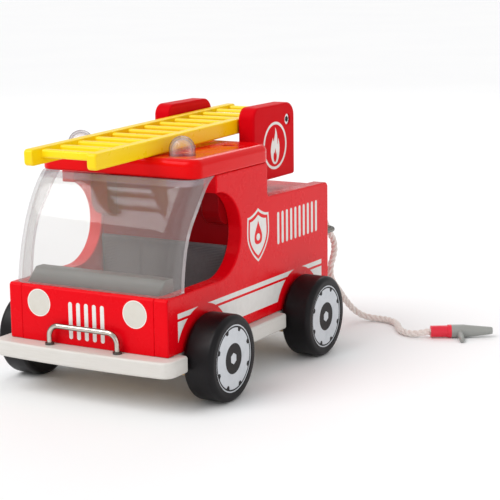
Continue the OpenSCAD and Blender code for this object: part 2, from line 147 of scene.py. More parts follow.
def inward(loop):
    """For each point of a loop with the material on its left: the offset direction into the material and its length factor."""
    n, res = len(loop), []
    for i in range(n):
        a = Vector(loop[i]) - Vector(loop[i - 1])
        b = Vector(loop[(i + 1) % n]) - Vector(loop[i])
        na = Vector((-a.y, a.x)).normalized()
        nb = Vector((-b.y, b.x)).normalized()
        m = na + nb
        if m.length < 1e-6:
            m = na.copy()
        m.normalize()
        res.append((m, 1 / max(0.35, m.dot(nb))))
    return res


AXES = {
    "X": lambda u, v, w: (w, u, v),
    "Y": lambda u, v, w: (v, w, u),
    "Z": lambda u, v, w: (u, v, w),
}


def prism_data(axis, loops, lo, hi, place=None, seg=4):
    """A closed board. loops: [(outline, rounding at lo, rounding at hi)], the outer one first, then holes.
    The outline lies in (y, z) for X, (z, x) for Y and (x, y) for Z. The normals are exact."""
    put = AXES[axis]
    verts, normals, faces = [], [], []
    caps = {0: [], 1: []}
    for k, (outline, r0, r1) in enumerate(loops):
        loop = tidy(ccw(outline) if k == 0 else cw(outline))
        ins = inward(loop)
        n = len(loop)
        rings = []
        s0, s1 = (seg if r0 > 0 else 0), (seg if r1 > 0 else 0)
        for j in range(s0 + 1):
            t = (pi / 2) * (j / s0) if s0 else pi / 2
            rings.append((r0 * (1 - math.sin(t)), lo + r0 * (1 - math.cos(t)), math.sin(t), -math.cos(t)))
        for j in range(s1 + 1):
            t = (pi / 2) * (1 - j / s1) if s1 else pi / 2
            rings.append((r1 * (1 - math.sin(t)), hi - r1 * (1 - math.cos(t)), math.sin(t), math.cos(t)))
        if s0 == 0:  # a sharp rim has rings of its own for the cap
            rings.insert(0, (0, lo, 0, -1))
        if s1 == 0:
            rings.append((0, hi, 0, 1))
        first = len(verts)
        for off, w, out, along in rings:
            for (u, v), (m, f) in zip(loop, ins):
                verts.append(Vector(put(u + m.x * off * f, v + m.y * off * f, w)))
                normals.append(Vector(put(-m.x * out, -m.y * out, along)))
        for j in range(len(rings) - 1):
            if (s0 == 0 and j == 0) or (s1 == 0 and j == len(rings) - 2):
                continue
            for i in range(n):
                a, b = first + j * n + i, first + j * n + (i + 1) % n
                faces.append((a, b, b + n, a + n))
        caps[0].append((first, n))
        caps[1].append((first + (len(rings) - 1) * n, n))
    sharp = [any(r == 0 for r in (lp[1 + side] for lp in loops)) for side in (0, 1)]
    for side in (0, 1):
        flat, polys = [], []
        inv = {"X": (1, 2), "Y": (2, 0), "Z": (0, 1)}[axis]
        for first, n in caps[side]:
            polys.append([Vector((verts[first + i][inv[0]], verts[first + i][inv[1]], 0)) for i in range(n)])
            flat += [first + i for i in range(n)]
        pos = [p for poly in polys for p in poly]
        for t in tessellate_polygon(polys):
            a, b, c = (pos[i] for i in t)
            up = (b - a).cross(c - a).z
            if abs(up) < 1e-12:
                continue
            t = t if (up > 0) == (side == 1) else t[::-1]
            faces.append(tuple(flat[i] for i in t))
    return verts, normals, faces


def to_frame(verts):
    return [P(*v) for v in verts]


def weld_sharp(verts, faces):
    """Joins points that lie on each other, so that a sharp rim is closed; the normals there come from split faces."""
    key, order, index = {}, [], []
    for v in verts:
        k = (round(v[0] * 1e4), round(v[1] * 1e4), round(v[2] * 1e4))
        if k not in key:
            key[k] = len(order)
            order.append(v)
        index.append(key[k])
    out = []
    for f in faces:
        g = [index[i] for i in f]
        h = [g[i] for i in range(len(g)) if g[i] != g[i - 1]]
        if len(h) > 2:
            out.append(tuple(h))
    return order, out


def joined(parts):
    """Several (verts, normals, faces) as one."""
    V, N, F = [], [], []
    for v, n, f in parts:
        k = len(V)
        V += v
        N += n
        F += [tuple(i + k for i in g) for g in f]
    return V, N, F


def mirrored(data):
    v, n, f = data
    return (
        [Vector((-p[0], p[1], p[2])) for p in v],
        [Vector((-p[0], p[1], p[2])) for p in n],
        [tuple(reversed(g)) for g in f],
    )


def piece(name, data, body, material, nodes=(), to=to_frame, sharp=False):
    v, n, f = data
    if sharp:
        v, f = weld_sharp(v, f)
        ob = new_object(name, to(v), f, None, [material])
        me = ob.data
        me.polygons.foreach_set("use_smooth", [False] * len(me.polygons))
        me.update()
    else:
        ob = new_object(name, to(v), f, n, [material])
    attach(ob, body)
    if nodes:
        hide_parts(*nodes)
    return ob


# ------------------------------------------------------------------ materials
def srgb(r, g, b):
    f = lambda c: c / 12.92 if c <= 0.04045 else ((c + 0.055) / 1.055) ** 2.4
    return (f(r / 255), f(g / 255), f(b / 255), 1.0)


class Mat:
    """A small builder for procedural materials in object coordinates, which here are metres in the frame."""

    def __init__(self, name):
        self.m = bpy.data.materials.new(name)
        self.m.use_nodes = True
        self.t = self.m.node_tree
        self.t.nodes.clear()
        self.out = self.t.nodes.new("ShaderNodeOutputMaterial")
        self.b = self.t.nodes.new("ShaderNodeBsdfPrincipled")
        self.t.links.new(self.b.outputs[0], self.out.inputs[0])
        self.co = self.t.nodes.new("ShaderNodeTexCoord").outputs["Object"]

    def node(self, kind, **props):
        n = self.t.nodes.new(kind)
        for k, v in props.items():
            setattr(n, k, v)
        return n

    def link(self, a, b):
        self.t.links.new(a, b)

    def scaled(self, sx, sy, sz, rot=(0, 0, 0)):
        n = self.node("ShaderNodeMapping")
        n.inputs["Scale"].default_value = (sx, sy, sz)
        n.inputs["Rotation"].default_value = rot
        self.link(self.co, n.inputs["Vector"])
        return n.outputs[0]

    def noise(self, scale, detail=4, rough=0.5, vec=None, distortion=0.0):
        n = self.node("ShaderNodeTexNoise")
        n.inputs["Scale"].default_value = scale
        n.inputs["Detail"].default_value = detail
        n.inputs["Roughness"].default_value = rough
        n.inputs["Distortion"].default_value = distortion
        self.link(vec if vec is not None else self.co, n.inputs["Vector"])
        return n.outputs["Fac"]

    def wave(self, scale, direction, distortion=0.0, vec=None, profile="SIN"):
        n = self.node("ShaderNodeTexWave", wave_type="BANDS", bands_direction=direction, wave_profile=profile)
        n.inputs["Scale"].default_value = scale
        n.inputs["Distortion"].default_value = distortion
        n.inputs["Detail"].default_value = 1.5
        n.inputs["Detail Scale"].default_value = 2.0
        self.link(vec if vec is not None else self.co, n.inputs["Vector"])
        return n.outputs["Fac"]

    def ramp(self, fac, stops):
        n = self.node("ShaderNodeValToRGB")
        while len(n.color_ramp.elements) < len(stops):
            n.color_ramp.elements.new(0.5)
        for e, (p, c) in zip(n.color_ramp.elements, stops):
            e.position = p
            e.color = c if len(c) == 4 else (*c, 1)
        self.link(fac, n.inputs[0])
        return n.outputs[0]

    def map(self, fac, a, b, lo=0.0, hi=1.0):
        n = self.node("ShaderNodeMapRange")
        n.inputs["From Min"].default_value = lo
        n.inputs["From Max"].default_value = hi
        n.inputs["To Min"].default_value = a
        n.inputs["To Max"].default_value = b
        self.link(fac, n.inputs["Value"])
        return n.outputs[0]

    def mix(self, fac, a, b):
        n = self.node("ShaderNodeMix", data_type="RGBA")
        for sock, v in ((n.inputs[0], fac), (n.inputs[6], a), (n.inputs[7], b)):
            if isinstance(v, bpy.types.NodeSocket):
                self.link(v, sock)
            else:
                sock.default_value = v
        return n.outputs[2]

    def math(self, op, a, b=0.0):
        n = self.node("ShaderNodeMath", operation=op)
        for sock, v in zip(n.inputs, (a, b)):
            if isinstance(v, bpy.types.NodeSocket):
                self.link(v, sock)
            else:
                sock.default_value = v
        return n.outputs[0]

    def bump(self, height, strength, distance):
        n = self.node("ShaderNodeBump")
        n.inputs["Strength"].default_value = strength
        n.inputs["Distance"].default_value = distance
        self.link(height, n.inputs["Height"])
        if self.b.inputs["Normal"].links:
            self.link(self.b.inputs["Normal"].links[0].from_socket, n.inputs["Normal"])
        self.link(n.outputs[0], self.b.inputs["Normal"])
        return n.outputs[0]

    def edges(self, lo=0.52, hi=0.60):
        g = self.node("ShaderNodeNewGeometry")
        return self.map(g.outputs["Pointiness"], 0, 1, lo, hi)

    def set(self, **kw):
        names = {
            "rough": "Roughness", "metal": "Metallic", "coat": "Coat Weight", "coat_rough": "Coat Roughness",
            "spec": "Specular IOR Level", "ior": "IOR", "sheen": "Sheen Weight", "alpha": "Alpha",
            "color": "Base Color", "aniso": "Anisotropic", "trans": "Transmission Weight", "sub": "Subsurface Weight",
        }
        for k, v in kw.items():
            s = self.b.inputs[names[k]]
            if isinstance(v, bpy.types.NodeSocket):
                self.link(v, s)
            else:
                s.default_value = v
        return self


def lacquer(name, base, deep, worn, rough=0.24, coat=0.0, grain="Y", peel=0.10, grain_mix=0.10, spec=0.22, tint=(1.0, 0.24, 0.28, 1.0)):
    """Sprayed lacquer on sanded wood: faint grain telegraphing through, orange peel, thinner and paler along the edges."""
    k = Mat(name)
    stretch = {"X": (60, 900, 900), "Y": (900, 60, 900), "Z": (900, 900, 60)}[grain]
    g = k.noise(1.0, 5, 0.6, k.scaled(*stretch), 0.4)
    big = k.noise(22, 3, 0.5)
    c = k.mix(k.map(g, 0, grain_mix, 0.45, 0.75), base, deep)
    c = k.mix(k.map(big, 0, 0.22, 0.4, 0.75), c, deep)
    c = k.mix(k.map(k.edges(), 0, 0.30), c, worn)
    fine = k.noise(650, 2, 0.5)
    k.set(color=c, rough=k.map(k.noise(90, 4, 0.6), rough - 0.05, rough + 0.09, 0.3, 0.7), coat=coat, coat_rough=0.08, spec=spec)
    k.b.inputs["Specular Tint"].default_value = tint
    k.bump(g, 0.10, 0.00015)
    k.bump(fine, peel, 0.00012)
    return k.m


def plastic(name, base, deep, rough=0.3, peel=0.08, coat=0.0, sub=0.0, spec=0.5):
    k = Mat(name)
    c = k.mix(k.map(k.noise(30, 3), 0, 0.25, 0.35, 0.75), base, deep)
    c = k.mix(k.map(k.edges(), 0, 0.22), c, tuple(min(1, x * 1.25 + 0.02) for x in base[:3]) + (1,))
    k.set(color=c, rough=k.map(k.noise(140, 3, 0.6), rough - 0.05, rough + 0.07, 0.3, 0.7), coat=coat, coat_rough=0.12, spec=spec)
    if sub:
        k.set(sub=sub)
        k.b.inputs["Subsurface Radius"].default_value = (0.003, 0.002, 0.0008)
        k.b.inputs["Subsurface Scale"].default_value = 1.0
    k.bump(k.noise(900, 2), peel, 0.00008)
    return k.m


def metal(name, base, deep, rough, streak="X", metal_weight=1.0, strength=0.12, rim=None):
    k = Mat(name)
    stretch = {"X": (80, 2400, 2400), "Y": (2400, 80, 2400), "Z": (2400, 2400, 80)}[streak]
    s = k.noise(1.0, 4, 0.6, k.scaled(*stretch))
    spots = k.noise(120, 5, 0.65)
    c = k.mix(k.map(spots, 0, 0.6, 0.45, 0.75), base, deep)
    if rim:
        lw = k.node("ShaderNodeLayerWeight")
        lw.inputs["Blend"].default_value = 0.5
        # painted reflection: the colour darkens to the rim colour where the surface turns away, standing for the dark
        # lines a bright rod reflects
        c = k.mix(k.map(lw.outputs["Facing"], 0, 1, 0.25, 0.72), c, rim)
    k.set(color=c, metal=metal_weight, rough=k.map(k.math("ADD", s, spots), rough * 0.7, rough * 1.5, 0.7, 1.3))
    k.bump(s, strength, 0.00004)
    return k.m


def wood(name, base, deep, rough=0.55):
    k = Mat(name)
    g = k.noise(1.0, 6, 0.62, k.scaled(40, 620, 620), 0.8)
    rings = k.wave(60, "Y", 6.0, k.scaled(0.25, 1, 1))
    c = k.mix(k.map(g, 0, 0.8, 0.35, 0.7), base, deep)
    c = k.mix(k.map(rings, 0, 0.25), c, deep)
    k.set(color=c, rough=k.map(g, rough - 0.06, rough + 0.1), spec=0.3)
    k.bump(g, 0.25, 0.0002)
    return k.m


def print_ink(name, base, deep, rough=0.32):
    """Screen-printed ink: faint mottling and pinholes."""
    k = Mat(name)
    c = k.mix(k.map(k.noise(160, 5, 0.65), 0, 0.55, 0.42, 0.78), base, deep)
    k.set(color=c, rough=k.map(k.noise(300, 3), rough - 0.05, rough + 0.1), coat=0.2, coat_rough=0.1, spec=0.45)
    k.bump(k.noise(1200, 2), 0.08, 0.00005)
    return k.m


def clear(name, tint, rim, least, most, rough=0.05, power=1.0):
    """Clear moulded plastic: nearly see-through face on, and more opaque towards the rim as it turns away, where its
    colour goes over to the rim colour, a painted shade and reflection along the edges of the moulding.
    """
    k = Mat(name)
    lw = k.node("ShaderNodeLayerWeight")
    lw.inputs["Blend"].default_value = 0.42
    f = k.math("POWER", lw.outputs["Facing"], power)
    haze = k.noise(18, 3)
    a = k.math("ADD", k.map(f, least, most), k.map(haze, -0.02, 0.03))
    c = k.mix(k.map(haze, 0, 1), tint, tuple(min(1, x * 1.05) for x in tint[:3]) + (1,))
    # painted shade and reflection: the colour darkens to the rim colour where the surface turns away from view
    c = k.mix(k.map(f, 0, 1, 0.12, 0.55), c, rim)
    k.set(color=c, rough=k.map(k.noise(60, 3), rough * 0.6, rough * 1.6), alpha=a, spec=0.9, coat=0.6, coat_rough=0.03)
    k.bump(k.noise(35, 2), 0.05, 0.0004)
    return k.m


WHITE = (1.0, 1.0, 1.0, 1.0)
RED, RED_D, RED_W = srgb(228, 4, 20), srgb(206, 2, 14), srgb(236, 24, 36)
M = {
    "red": lacquer("red_lacquer", RED, RED_D, RED_W),
    "red_tower": lacquer("red_lacquer_tower", srgb(212, 8, 22), srgb(188, 4, 15), srgb(226, 32, 40), rough=0.40, peel=0.2, spec=0.04),
    "red_roof": lacquer("red_lacquer_roof", srgb(226, 9, 12), srgb(202, 4, 9), srgb(236, 38, 32), rough=0.12, coat=0.02, spec=0.24),
    # a darker copy of the red lacquer: painted shade for the cab wall and posts, the roof plugs and the tower block
    # between the cheeks
    "red_painted_shade": lacquer("red_lacquer_painted_shade", srgb(140, 4, 12), srgb(112, 2, 9), srgb(160, 20, 24), rough=0.32, spec=0.15),
    "cream": lacquer("cream_lacquer", srgb(213, 210, 205), srgb(201, 197, 189), srgb(230, 228, 223), rough=0.36, coat=0.05, grain="X", grain_mix=0.5, tint=WHITE),
    "bare": wood("bare_wood", srgb(222, 190, 142), srgb(182, 142, 94)),
    "dark": lacquer("dark_paint", srgb(70, 68, 70), srgb(48, 47, 50), srgb(92, 90, 92), rough=0.5, tint=WHITE),
    "dash": plastic("dash_grey", srgb(112, 116, 112), srgb(92, 96, 93), rough=0.42, peel=0.25),
    "yellow": plastic("ladder_yellow", srgb(254, 216, 8), srgb(247, 196, 4), rough=0.3, peel=0.04, spec=0.28),
    "ink": print_ink("print_white", srgb(232, 230, 226), srgb(212, 208, 205)),
    "ink_lamp": print_ink("print_lamp", srgb(211, 208, 199), srgb(201, 196, 183), 0.4),
    "ink_rim": print_ink("print_lamp_rim", srgb(236, 234, 228), srgb(224, 220, 210), 0.3),
    "silver": print_ink("print_silver", srgb(204, 208, 213), srgb(178, 184, 190), 0.38),
    "ink_black": print_ink("print_black", srgb(34, 28, 30), srgb(22, 18, 20), 0.4),
    # the dark rim colour of the bright rods is a painted reflection along their turned-away sides
    "chrome": metal("bright_rod", srgb(204, 198, 188), srgb(150, 142, 132), 0.12, rim=srgb(44, 36, 32)),
    "steel": metal("zinc_steel", srgb(190, 192, 196), srgb(150, 152, 156), 0.34),
    "collar": metal("collar_steel", srgb(96, 92, 90), srgb(62, 60, 60), 0.4),
    # the darker rim colours of the windscreen materials are painted shade and reflection along their turned-away edges
    "screen": clear("clear_screen", srgb(184, 179, 175), srgb(150, 144, 147), 0.15, 0.46, 0.03, 1.6),
    "screen_edge": clear("clear_screen_edge", srgb(222, 212, 216), srgb(196, 186, 192), 0.70, 0.25, 0.06),
    "screen_flange": clear("clear_screen_flange", srgb(194, 180, 185), srgb(134, 124, 130), 0.40, 0.40, 0.06),
    # the dark reddish rim colour of the domes is painted shade and a painted reflection of the red roof
    "dome": clear("clear_dome", srgb(232, 228, 232), srgb(48, 30, 36), 0.04, 0.95, 0.02, 1.35),
    "sleeve": plastic("nozzle_red", srgb(226, 26, 54), srgb(196, 14, 40), rough=0.35, peel=0.15),
    "nozzle": plastic("nozzle_grey", srgb(150, 152, 148), srgb(126, 128, 126), rough=0.42, peel=0.25),
}


def tyre_material():
    """Black satin lacquer with the faint turning lines and dust of a turned wheel."""
    k = Mat("wheel_black")
    lines = k.wave(1500, "X", 0.3)
    dust = k.noise(70, 6, 0.7)
    c = k.mix(k.map(dust, 0, 0.6, 0.5, 0.8), srgb(12, 9, 12), srgb(27, 22, 26))
    c = k.mix(k.map(k.edges(), 0, 0.30), c, srgb(50, 44, 48))
    k.set(color=c, rough=k.map(dust, 0.34, 0.48, 0.3, 0.7), spec=0.22)
    k.bump(lines, 0.06, 0.00005)
    k.bump(k.noise(500, 2), 0.08, 0.0001)
    return k.m


def weave_material():
    """Fine ribbed upholstery cloth."""
    k = Mat("seat_weave")
    rib = k.wave(300, "Z", 0.6)
    rib_y = k.wave(300, "Y", 0.6)
    warp = k.wave(620, "X", 0.8)
    ribs = k.math("MAXIMUM", rib, rib_y)
    cloth = k.math("ADD", k.math("MULTIPLY", ribs, 0.65), k.math("MULTIPLY", warp, 0.35))
    fuzz = k.noise(420, 5, 0.7)
    c = k.mix(cloth, srgb(62, 60, 64), srgb(116, 114, 116))
    c = k.mix(k.map(fuzz, 0, 0.5, 0.4, 0.8), c, srgb(86, 84, 86))
    k.set(color=c, rough=0.85, spec=0.2, sheen=0.25)
    k.bump(cloth, 0.6, 0.0004)
    k.bump(fuzz, 0.25, 0.0002)
    return k.m


def rope_material():
    """Twisted cotton yarn: fine fibres along the strand, and painted shade, darker and warmer, in the grooves between
    the strands.
    """
    k = Mat("rope_cotton")
    fib = k.noise(1900, 4, 0.6, None, 1.0)
    big = k.noise(260, 3, 0.5)
    c = k.mix(k.map(fib, 0, 0.7, 0.35, 0.7), srgb(246, 240, 234), srgb(216, 202, 196))
    c = k.mix(k.map(big, 0, 0.35, 0.4, 0.7), c, srgb(226, 208, 202))
    g = k.node("ShaderNodeNewGeometry")
    # painted shade: darker and warmer where the surface is concave, between the strands
    c = k.mix(k.map(g.outputs["Pointiness"], 0.75, 0, 0.42, 0.5), c, srgb(176, 148, 142))
    k.set(color=c, rough=0.85, spec=0.2, sheen=0.3)
    k.bump(fib, 0.7, 0.0004)
    return k.m


M["tyre"] = tyre_material()
M["weave"] = weave_material()
M["rope"] = rope_material()


def paint_node(node, material):
    ob = NODES[node]
    if not ob.material_slots:
        ob.data.materials.append(material)
    for s in ob.material_slots:
        s.material = material


# ------------------------------------------------------------------ rope hose
HOSE = [(45.5, 240.9, 79.3), (45.5, 243.4, 75), (45.8, 246.4, 70.9), (46.2, 249.9, 67), (46.6, 252, 62), (46.9, 251.6, 56.6), (47, 249, 51.8),
        (47, 246.1, 47.1), (47, 245, 41.9), (47.1, 246.5, 36.8), (47.4, 249.8, 32.4), (48, 254, 28.2), (48.9, 257.9, 23.6), (50.3, 261.6, 18.6),
        (52.6, 264.9, 13.4), (56, 267.8, 8.7), (60.6, 270.3, 5.1), (66.4, 272.6, 3.1), (73.5, 274, 2.6), (82, 273, 2.6), (89, 268.5, 2.6),
        (94.5, 262, 2.6), (98.5, 255, 2.6), (103.5, 248, 2.6), (110, 243.5, 2.6), (116, 242.5, 2.8), (122, 244, 3.8), (127.5, 247, 4.7), (134.5, 251, 4.8)]
HOSE_D = 5.0


def smooth_line(points, step):
    """A Catmull-Rom curve through the points, in small steps."""
    pts = [Vector(p) for p in points]
    out = []
    for i in range(len(pts) - 1):
        a, b, c, d = pts[max(i - 1, 0)], pts[i], pts[i + 1], pts[min(i + 2, len(pts) - 1)]
        n = max(2, int((c - b).length / step))
        for j in range(n):
            t = j / n
            out.append(0.5 * ((2 * b) + (c - a) * t + (2 * a - 5 * b + 4 * c - d) * t * t + (3 * b - a - 3 * c + d) * t ** 3))
    out.append(pts[-1])
    return out


def twisted(line, diameter, strands=3, pitch=13.0, sides=10, start=0.0):
    """Strands laid round a line, each a closed tube. Millimetres."""
    rs = diameter / 2 / (1 + 1 / math.cos(pi / 2 - pi / strands)) * 1.06
    off = diameter / 2 - rs
    n = len(line)
    tang = [(line[min(i + 1, n - 1)] - line[max(i - 1, 0)]).normalized() for i in range(n)]
    ref = Vector((1, 0, 0)) if abs(tang[0].x) < 0.8 else Vector((0, 0, 1))
    N = [(ref - tang[0] * ref.dot(tang[0])).normalized()]
    for i in range(1, n):
        v = N[-1] - tang[i] * N[-1].dot(tang[i])
        N.append(v.normalized())
    s = [0.0]
    for i in range(1, n):
        s.append(s[-1] + (line[i] - line[i - 1]).length)
    V, F, NN = [], [], []
    for k in range(strands):
        mids = []
        for i in range(n):
            B = tang[i].cross(N[i])
            a = start + 2 * pi * k / strands + 2 * pi * s[i] / pitch
            mids.append(line[i] + off * (math.cos(a) * N[i] + math.sin(a) * B))
        first = len(V)
        for i in range(n):
            t = (mids[min(i + 1, n - 1)] - mids[max(i - 1, 0)]).normalized()
            u = (N[i] - t * N[i].dot(t)).normalized()
            w = t.cross(u)
            for q in range(sides):
                b = 2 * pi * q / sides
                d = math.cos(b) * u + math.sin(b) * w
                V.append(mids[i] + rs * d)
                NN.append(d)
        for i in range(n - 1):
            for q in range(sides):
                a0, a1 = first + i * sides + q, first + i * sides + (q + 1) % sides
                F.append((a0, a1, a1 + sides, a0 + sides))
        F.append(tuple(first + q for q in range(sides))[::-1])
        F.append(tuple(first + (n - 1) * sides + q for q in range(sides)))
    return V, NN, F


def rope_piece(name, line, node, start=0.0, pitch=13.0):
    v, nn, f = twisted(line, HOSE_D, start=start, pitch=pitch)
    ob = new_object(name, to_frame(v), f, None, [M["rope"]])
    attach(ob, "engine")
    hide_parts(node)
    return ob


hose_line = smooth_line(HOSE, 0.7)
hose = rope_piece("rope_hose", hose_line, "hose")
wrap_line = []
bar_y, bar_z, wrap_r = 237.0, 77.0, 1.75 + HOSE_D / 2 + 0.05
turns = 1.15
for i in range(141):
    t = i / 140
    a = 0.17 * pi + 2 * pi * turns * (1 - t)
    wrap_line.append(Vector((40.6 + 4.9 * t, bar_y + wrap_r * math.cos(a), bar_z + wrap_r * math.sin(a))))
wrap = rope_piece("rope_turns", wrap_line, "hose_wrap", start=0.7)
paint_node("nozzle_sleeve", M["sleeve"])
paint_node("nozzle_body", M["nozzle"])
paint_node("nozzle_lever", M["nozzle"])


# ------------------------------------------------------------------ boards
def arc(cx, cy, r, a0, a1, n):
    return [(cx + r * math.cos(math.radians(a0 + (a1 - a0) * i / n)), cy + r * math.sin(math.radians(a0 + (a1 - a0) * i / n))) for i in range(n + 1)]


def side_outline():
    pts = [(0, 35, 1.2), (215, 35, 1.2), (215, 115, 4.0), (128.5, 117, 1.0), (126.5, 119, 1.0), (126.5, 140, 1.2), (60.5, 140, 1.2), (60.5, 128.5, 0)]
    pts += [(x, y, 0) for x, y in arc(62, 99.97, 28.5, 90, -90, 64)]
    pts += [(1.5, 71.5, 0.5), (0, 70, 0.5)]
    return filleted(pts)


side = prism_data("X", [(side_outline(), 0.7, 1.1)], 50.5, 60.5)
piece("side_board_left", side, "engine", M["red"], ["side_panel_left"])
piece("side_board_right", mirrored(side), "engine", M["red"], ["side_panel_right"])
nose = filleted([(0, 35, 0.7), (10, 35, 0.7), (10, 71.5, 0.7), (1.5, 71.5, 0.8), (0, 70, 0.8)])
piece("nose_board", prism_data("X", [(nose, 0.55, 0.55)], -50.45, 50.45), "engine", M["red"], ["nose_panel"])


def box_loop(a0, a1, b0, b1, r=0.8):
    return filleted([(a0, b0, r), (a1, b0, r), (a1, b1, r), (a0, b1, r)])


# the cab wall and the cab posts take the darker red: painted shade inside the cab
piece("cab_wall", prism_data("X", [(box_loop(91, 101, 35, 140), 0.6, 0.6)], -50.48, 50.48), "engine", M["red_painted_shade"], ["cab_back_wall"])
deck_holes = [(disc(0, y, 4.2), 0.3, 0.3) for y in (156, 174)]
piece("deck", prism_data("Z", [(box_loop(-50.48, 50.48, 101, 215, 1.0), 0.6, 0.6)] + deck_holes, 103, 113), "engine", M["red"], ["deck_board"])
piece("rear_board", prism_data("X", [(box_loop(205, 215, 35, 103), 0.6, 0.6)], -50.48, 50.48), "engine", M["red"], ["rear_panel"])
post = filleted([(79, 115, 0), (79, 140, 0.8), (91, 140, 0.8), (91, 103, 0)] + [(x, y, 0) for x, y in arc(91, 115, 12, -90, -180, 14)][1:-1])
pst = prism_data("X", [(post, 1.2, 0.5)], 37, 50.5)
piece("cab_post_left", pst, "engine", M["red_painted_shade"], ["roof_post_left"])
piece("cab_post_right", mirrored(pst), "engine", M["red_painted_shade"], ["roof_post_right"])


def base_outline():
    pts = [(-68, -10.03, 11)]
    for i in range(-7, 8):
        x = i * 7.6
        pts.append((x, 767 - math.sqrt(780 ** 2 - x * x), 0))
    pts += [(68, -10.03, 11), (68, 12.5, 3), (60, 12.5, 1), (60, 71, 1), (68, 71, 3), (68, 139, 3), (60, 139, 1), (60, 215, 1.5),
            (-60, 215, 1.5), (-60, 139, 1), (-68, 139, 3), (-68, 71, 3), (-60, 71, 1), (-60, 12.5, 1), (-68, 12.5, 3)]
    return filleted(pts, 8)


def screw_wells(y, r0, r1):
    return [(disc(x, y, 3.7, 40), r0, r1) for x in (-55.5, 55.5)]


# above the axles the board is whole; below, it is parted by the two axle grooves
SPLIT, G = 30.6, 2.6
bow = [(i * 7.6, 767 - math.sqrt(780 ** 2 - (i * 7.6) ** 2), 0) for i in range(-7, 8)]
front_part = [(-68, -10.03, 11)] + bow + [(68, -10.03, 11), (68, 12.5, 3), (60, 12.5, 1), (60, 41.5 - G, 0.4), (-60, 41.5 - G, 0.4), (-60, 12.5, 1), (-68, 12.5, 3)]
middle_part = [(60, 41.5 + G, 0.4), (60, 71, 1), (68, 71, 3), (68, 139, 3), (60, 139, 1), (60, 168.5 - G, 0.4),
               (-60, 168.5 - G, 0.4), (-60, 139, 1), (-68, 139, 3), (-68, 71, 3), (-60, 71, 1), (-60, 41.5 + G, 0.4)]
rear_part = [(60, 168.5 + G, 0.4), (60, 215, 1.5), (-60, 215, 1.5), (-60, 168.5 + G, 0.4)]
wells = [w for y in (18, 105, 203) for w in screw_wells(y, 0.0, 0.3)]
plank = [prism_data("Z", [(base_outline(), 0.0, 1.6)] + wells, SPLIT, 35, seg=5)]
for part, y in ((front_part, 18), (middle_part, 105), (rear_part, 203)):
    plank.append(prism_data("Z", [(filleted(part, 8), 1.6, 0.0)] + screw_wells(y, 0.3, 0.0), 24.5, SPLIT, seg=5))
piece("base_plank", joined(plank), "engine", M["cream"], ["base_board"])
for node, yc in (("axle_cover_front", 41.5), ("axle_cover_rear", 168.5)):
    loops = [(box_loop(-57, 57, yc - 15, yc + 15, 2), 1.0, 0.5)]
    loops += [(disc(x, yc + y, 3.7, 40), 0.3, 0.3) for x in (-30, 30) for y in (-9, 9)]
    piece("cover_" + node.split("_")[-1], prism_data("Z", loops, 17, 24.5), "engine", M["bare"], [node])

roof = filleted([(-60.5, 36, 9), (60.5, 36, 9), (60.5, 134, 12), (-60.5, 134, 12)], 14)
roof_loops = [(roof, 1.5, 5.0)] + [(disc(x, 109, 4.03, 48), 0.3, 0.35) for x in (-41, 41)] + [(disc(x, 54.4, 8.55, 64), 0.0, 0.25) for x in (-39.2, 39.2)]
roof_seats = [prism_data("Z", [(disc(x, 54.4, 8.55, 64), 0.0, 0.0)], 140, 151) for x in (-39.2, 39.2)]
piece("roof_board", joined([prism_data("Z", roof_loops, 140, 152.5, seg=8)] + roof_seats), "engine", M["red_roof"], ["roof_panel"])
plugs = joined([prism_data("Z", [(disc(x, 109, 3.99, 48), 0.2, 0.5)], 149.4, 151.9) for x in (-41, 41)])
# the roof plugs take the darker red: painted shade in their shallow wells
piece("roof_plug_discs", plugs, "engine", M["red_painted_shade"], ["roof_plugs"])

# ------------------------------------------------------------------ tower
cheek = filleted([(143.8, 121.7, 2), (202.3, 121.7, 2), (202.3, 173.3, 10), (143.8, 173.3, 8)], 14)
chk = prism_data("X", [(cheek, 1.0, 1.6), (disc(192, 161.5, 3.85, 48), 0.2, 0.5)], 28.3, 40.3, seg=5)
piece("cheek_left", chk, "engine", M["red_tower"], ["tower_cheek_left"])
piece("cheek_right", mirrored(chk), "engine", M["red_tower"], ["tower_cheek_right"])
# the tower block takes the darker red: painted shade between the cheeks
piece("tower_block", prism_data("X", [(box_loop(146, 182, 113, 136, 0.8), 0.4, 0.4)], -28.28, 28.28), "engine", M["red_painted_shade"], ["tower_plinth"])

# ------------------------------------------------------------------ ladder
PIN = (192.0, 161.5)
PITCH = math.radians(1.3)


def ladder_to_frame(verts):
    out = []
    for v in verts:
        y, z = v[1], v[2]
        out.append(P(v[0], PIN[0] + y * math.cos(PITCH) - z * math.sin(PITCH), PIN[1] + y * math.sin(PITCH) + z * math.cos(PITCH)))
    return out


def turned(normals):
    return [Vector((n[0], n[1] * math.cos(PITCH) - n[2] * math.sin(PITCH), n[1] * math.sin(PITCH) + n[2] * math.cos(PITCH))) for n in normals]


def ladder_piece():
    front, rear = -214.6, 31.0
    rail = filleted([(front, -5.2, 2.5), (rear, -5.2, 2.5), (rear, 5.2, 2.5), (front, 5.2, 2.5)], 8)
    one = prism_data("X", [(rail, 0.9, 1.3), (disc(0, 0, 2.55, 40), 0.2, 0.3)], 20.4, 26.9, seg=5)
    parts = [one, mirrored(one)]
    n = 13
    first = 12.5
    step = (rear - front - first - 6) / (n - 1)
    for i in range(n):
        y = front + first + i * step
        rung = filleted([(y - 3, -1.2, 1.5), (y + 3, -1.2, 1.5), (y + 3, 4.0, 1.5), (y - 3, 4.0, 1.5)], 6)
        # each rung is a plain bar that runs half a millimetre into each rail
        parts.append(prism_data("X", [(rung, 0.0, 0.0)], -20.9, 20.9))
    v, nn, f = joined(parts)
    return piece("ladder_moulding", (v, turned(nn), f), "ladder", M["yellow"], ["ladder"], to=ladder_to_frame)


ladder_piece()

